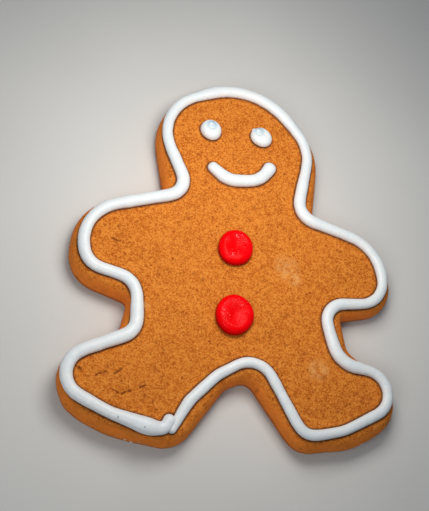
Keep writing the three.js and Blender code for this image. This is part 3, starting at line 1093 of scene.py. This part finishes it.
def eye_top(oval, peak_place):
    """The surface of an eye over its oval."""
    rim = EYE_RIM * oval["height"]
    turn = oval["turn"]

    def surface(x, y, radius):
        east = x * math.cos(turn) - y * math.sin(turn)
        north = x * math.sin(turn) + y * math.cos(turn)
        across, up = east / MM - peak_place[0], north / MM - peak_place[1]
        spread = math.hypot(across, up)
        groove = math.exp(-((spread - GROOVE_RADIUS) / GROOVE_WIDTH) ** 2)
        dent = math.exp(-(spread / DENT_RADIUS) ** 4)
        dot = math.exp(-(math.hypot(across - DOT_SHIFT[0], up - DOT_SHIFT[1]) / DOT_RADIUS) ** 2)
        dome = (0.95 * oval["height"] - rim) * max(0, 1 - radius ** 3.6) ** 0.5
        sunk = 0.22 * groove + 0.18 * dent - 0.25 * dot
        height = rim + dome - sunk * MM * min(1, 3 * (1 - radius))
        # Painted shade: a cool tint in the groove, heavier on its upper side, and in the dent, but
        # none on the dot of the peak.
        upper_side = 0.5 + 0.5 * up / max(spread, 0.1)
        tint = 0.75 * groove * upper_side + 0.42 * dent
        return height, tint * (1 - dot) * min(1, 6 * (1 - radius))
    return surface


# %% The top of a button
# The rim's height, as a part of the drop's.
BUTTON_RIM = 0.30
# The sunken middle and the lumps on it, in millimetres.
MIDDLE_PLACE = (0.2, 0.3)
MIDDLE_RADIUS = 2.5
MIDDLE_DEPTH = 0.55
BUTTON_LUMPS = 16
LUMP_REACH = 3.5
LUMP_RADII = (0.9, 1.8)
LUMP_HEIGHT = 0.15


def button_top(oval, seed):
    """The surface of a button over its oval."""
    rim = BUTTON_RIM * oval["height"]
    chance = random.Random(seed)
    lumps = []
    for _ in range(BUTTON_LUMPS):
        centre = [chance.uniform(-LUMP_REACH, LUMP_REACH) for _ in range(2)]
        radius = chance.uniform(*LUMP_RADII)
        lumps.append((centre, radius, chance.uniform(-LUMP_HEIGHT, LUMP_HEIGHT)))

    def surface(x, y, radius):
        dome = (0.99 * oval["height"] - rim) * max(0, 1 - radius ** 8.0) ** 0.6
        sunk = MIDDLE_DEPTH * hump(x, y, MIDDLE_PLACE, MIDDLE_RADIUS)
        uneven = sum(rise * hump(x, y, centre, width) for centre, width, rise in lumps)
        # Painted shade in a darker red on the drawn-in foot below the rim.
        foot = min(1, max(0, (radius - 0.955) / 0.03))
        return rim + dome + (uneven - sunk) * MM * min(1, 2.5 * (1 - radius)), foot
    return surface


# %% Make the four drops
# Where the peak stands from the middle of its eye, and the tail that it leaves on the outline.
EYE_PEAKS = {"eye_left": (0.0, 1.15), "eye_right": (-1.1, 1.3)}
EYE_TAILS = {"eye_left": None, "eye_right": (140, 0.13)}
# A button spreads a little past its oval.
BUTTON_SPREAD = 1.015

drops = {}
for index, (name, peak_place) in enumerate(EYE_PEAKS.items()):
    oval = ovals[name]
    drops[name] = build_drop("icing_" + name, oval, eye_top(oval, peak_place), royal_icing,
                             0.03, index, EYE_TAILS[name])
for index, name in enumerate(("button_upper", "button_lower")):
    oval = ovals[name]
    oval["half"] = tuple(BUTTON_SPREAD * half for half in oval["half"])
    drops[name] = build_drop("sugar_" + name, oval, button_top(oval, 5 + index), red_sugar,
                             0.02, 7 + index, foot_shade=1.0)
for name, drop in drops.items():
    print(drop.name, "is", round(max(v.co.z for v in drop.data.vertices) / MM - TOP / MM, 2),
          "mm high")

# %% [markdown]
# ## Loose crumbs and grains
# Rolled dough leaves coarse grains standing on the face, and a few grains of flour stay low on
# the edge beside the feet. They are scattered over the baked surface by a recipe that picks
# points with a fixed seed and puts a small rough stone on each one.

# %% The scattering recipe


def build_scatter_tree():
    inputs = [
        ("Ground", "NodeSocketGeometry", None),
        ("Density", "NodeSocketFloat", 1e5),
        ("Smallest", "NodeSocketFloat", 0.1 * MM),
        ("Largest", "NodeSocketFloat", 0.3 * MM),
        ("Seed", "NodeSocketInt", 1),
        ("Finish", "NodeSocketMaterial", None),
    ]
    outputs = [("Grains", "NodeSocketGeometry", None)]
    tree, group_in, group_out = new_group("scattering", "GeometryNodeTree", inputs, outputs)
    keep = add_node(tree, "GeometryNodeInputNamedAttribute", {"Name": "grain_ground"},
                    data_type="FLOAT").outputs["Attribute"]
    density = times(tree, keep, group_in["Density"])
    scatter = add_node(tree, "GeometryNodeDistributePointsOnFaces", {
        "Mesh": group_in["Ground"], "Density": density, "Seed": group_in["Seed"]})

    # A stone is narrower than long, and lower still. It tips a little and faces any way.
    stone = add_node(tree, "GeometryNodeMeshIcoSphere", {"Radius": 1.0, "Subdivisions": 1})
    size = add_node(tree, "FunctionNodeRandomValue",
                    {2: group_in["Smallest"], 3: group_in["Largest"], "Seed": 3},
                    data_type="FLOAT").outputs[1]
    flat = add_node(tree, "FunctionNodeRandomValue", {2: 0.5, 3: 1.0, "Seed": 4},
                    data_type="FLOAT").outputs[1]
    scale = add_node(tree, "ShaderNodeCombineXYZ", {
        "X": size, "Y": times(tree, size, flat), "Z": times(tree, size, 0.6)}).outputs[0]
    turn = add_node(tree, "FunctionNodeRandomValue", {0: (0, 0, 0), 1: (0.6, 0.6, 6.3), "Seed": 5},
                    data_type="FLOAT_VECTOR").outputs[0]
    grains = add_node(tree, "GeometryNodeInstanceOnPoints", {
        "Points": scatter.outputs["Points"], "Instance": stone.outputs[0],
        "Scale": scale, "Rotation": turn})
    end_recipe(tree, grains.outputs[0], group_in["Finish"], group_out["Grains"], smooth=False)
    return tree


SCATTER_TREE = build_scatter_tree()
print("scattering recipe has", len(SCATTER_TREE.nodes), "nodes")

# %% Scatter the grains
# Where flour grains stay, in millimetres: two places at the edge, how far they reach, and
# between which heights.
FLOUR_EDGES = ((-28.5, -58.5), (38.5, -54.5))
FLOUR_REACH = 2.0
FLOUR_LOW, FLOUR_HIGH = 2.4, 5.2


def ground_mesh(name, weight_of):
    """A copy of the biscuit's mesh that says how thickly grains lie on each point."""
    mesh = baked_biscuit.data.copy()
    mesh.name = name
    weights = np.array([weight_of(v.co / MM) for v in mesh.vertices], np.float32)
    mesh.attributes.new("grain_ground", "FLOAT", "POINT").data.foreach_set("value", weights)
    return mesh


def face_weight(p):
    """Crumb grains lie all over the face."""
    return 1.0 if p.z > TOP / MM - 1.0 else 0.0


def flour_weight(p):
    """Flour grains lie low on the edge beside the feet."""
    near = min(math.hypot(p.x - x, p.y - y) for x, y in FLOUR_EDGES)
    return 1.0 if near < FLOUR_REACH and FLOUR_LOW < p.z < FLOUR_HIGH else 0.0


def scatter(name, weight_of, density, smallest, largest, seed, finish):
    """Scatters grains. density is in grains per square metre, and the radii are millimetres."""
    return run_recipe(name, ground_mesh(name + "_ground", weight_of), SCATTER_TREE, {
        "Density": density, "Smallest": smallest * MM, "Largest": largest * MM,
        "Seed": seed, "Finish": finish})


crumb_grains = scatter("crumb_grains", face_weight, 1.6e5, 0.10, 0.22, 3, gingerbread)
flour_grains = scatter("flour_grains", flour_weight, 4.0e5, 0.16, 0.36, 8, royal_icing)
print("crumb grains:", len(crumb_grains.data.polygons) // 20,
      "and flour grains:", len(flour_grains.data.polygons) // 20)

# %% [markdown]
# ## The pieces and their body
# The table lists each piece with a finish name and the plain part that it stands for. Each
# piece moves with the root body, and its plain part is hidden. A cookie has no joints, so there
# is one body.

# %% Bodies, slots and replaced parts
PIECES = [
    (baked_biscuit, "gingerbread", "biscuit"),
    (icing_line, "white_icing", "icing_outline"),
    (icing_smile, "white_icing", "smile"),
    (drops["eye_left"], "white_icing", "eye_left"),
    (drops["eye_right"], "white_icing", "eye_right"),
    (drops["button_upper"], "red_sugar", "button_upper"),
    (drops["button_lower"], "red_sugar", "button_lower"),
    (crumb_grains, "gingerbread", None),
    (flour_grains, "white_icing", None),
]
for piece, slot_name, part_name in PIECES:
    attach(piece, "root")
    if part_name:
        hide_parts(part_name)
print(len(PIECES), "pieces ride on the root body")
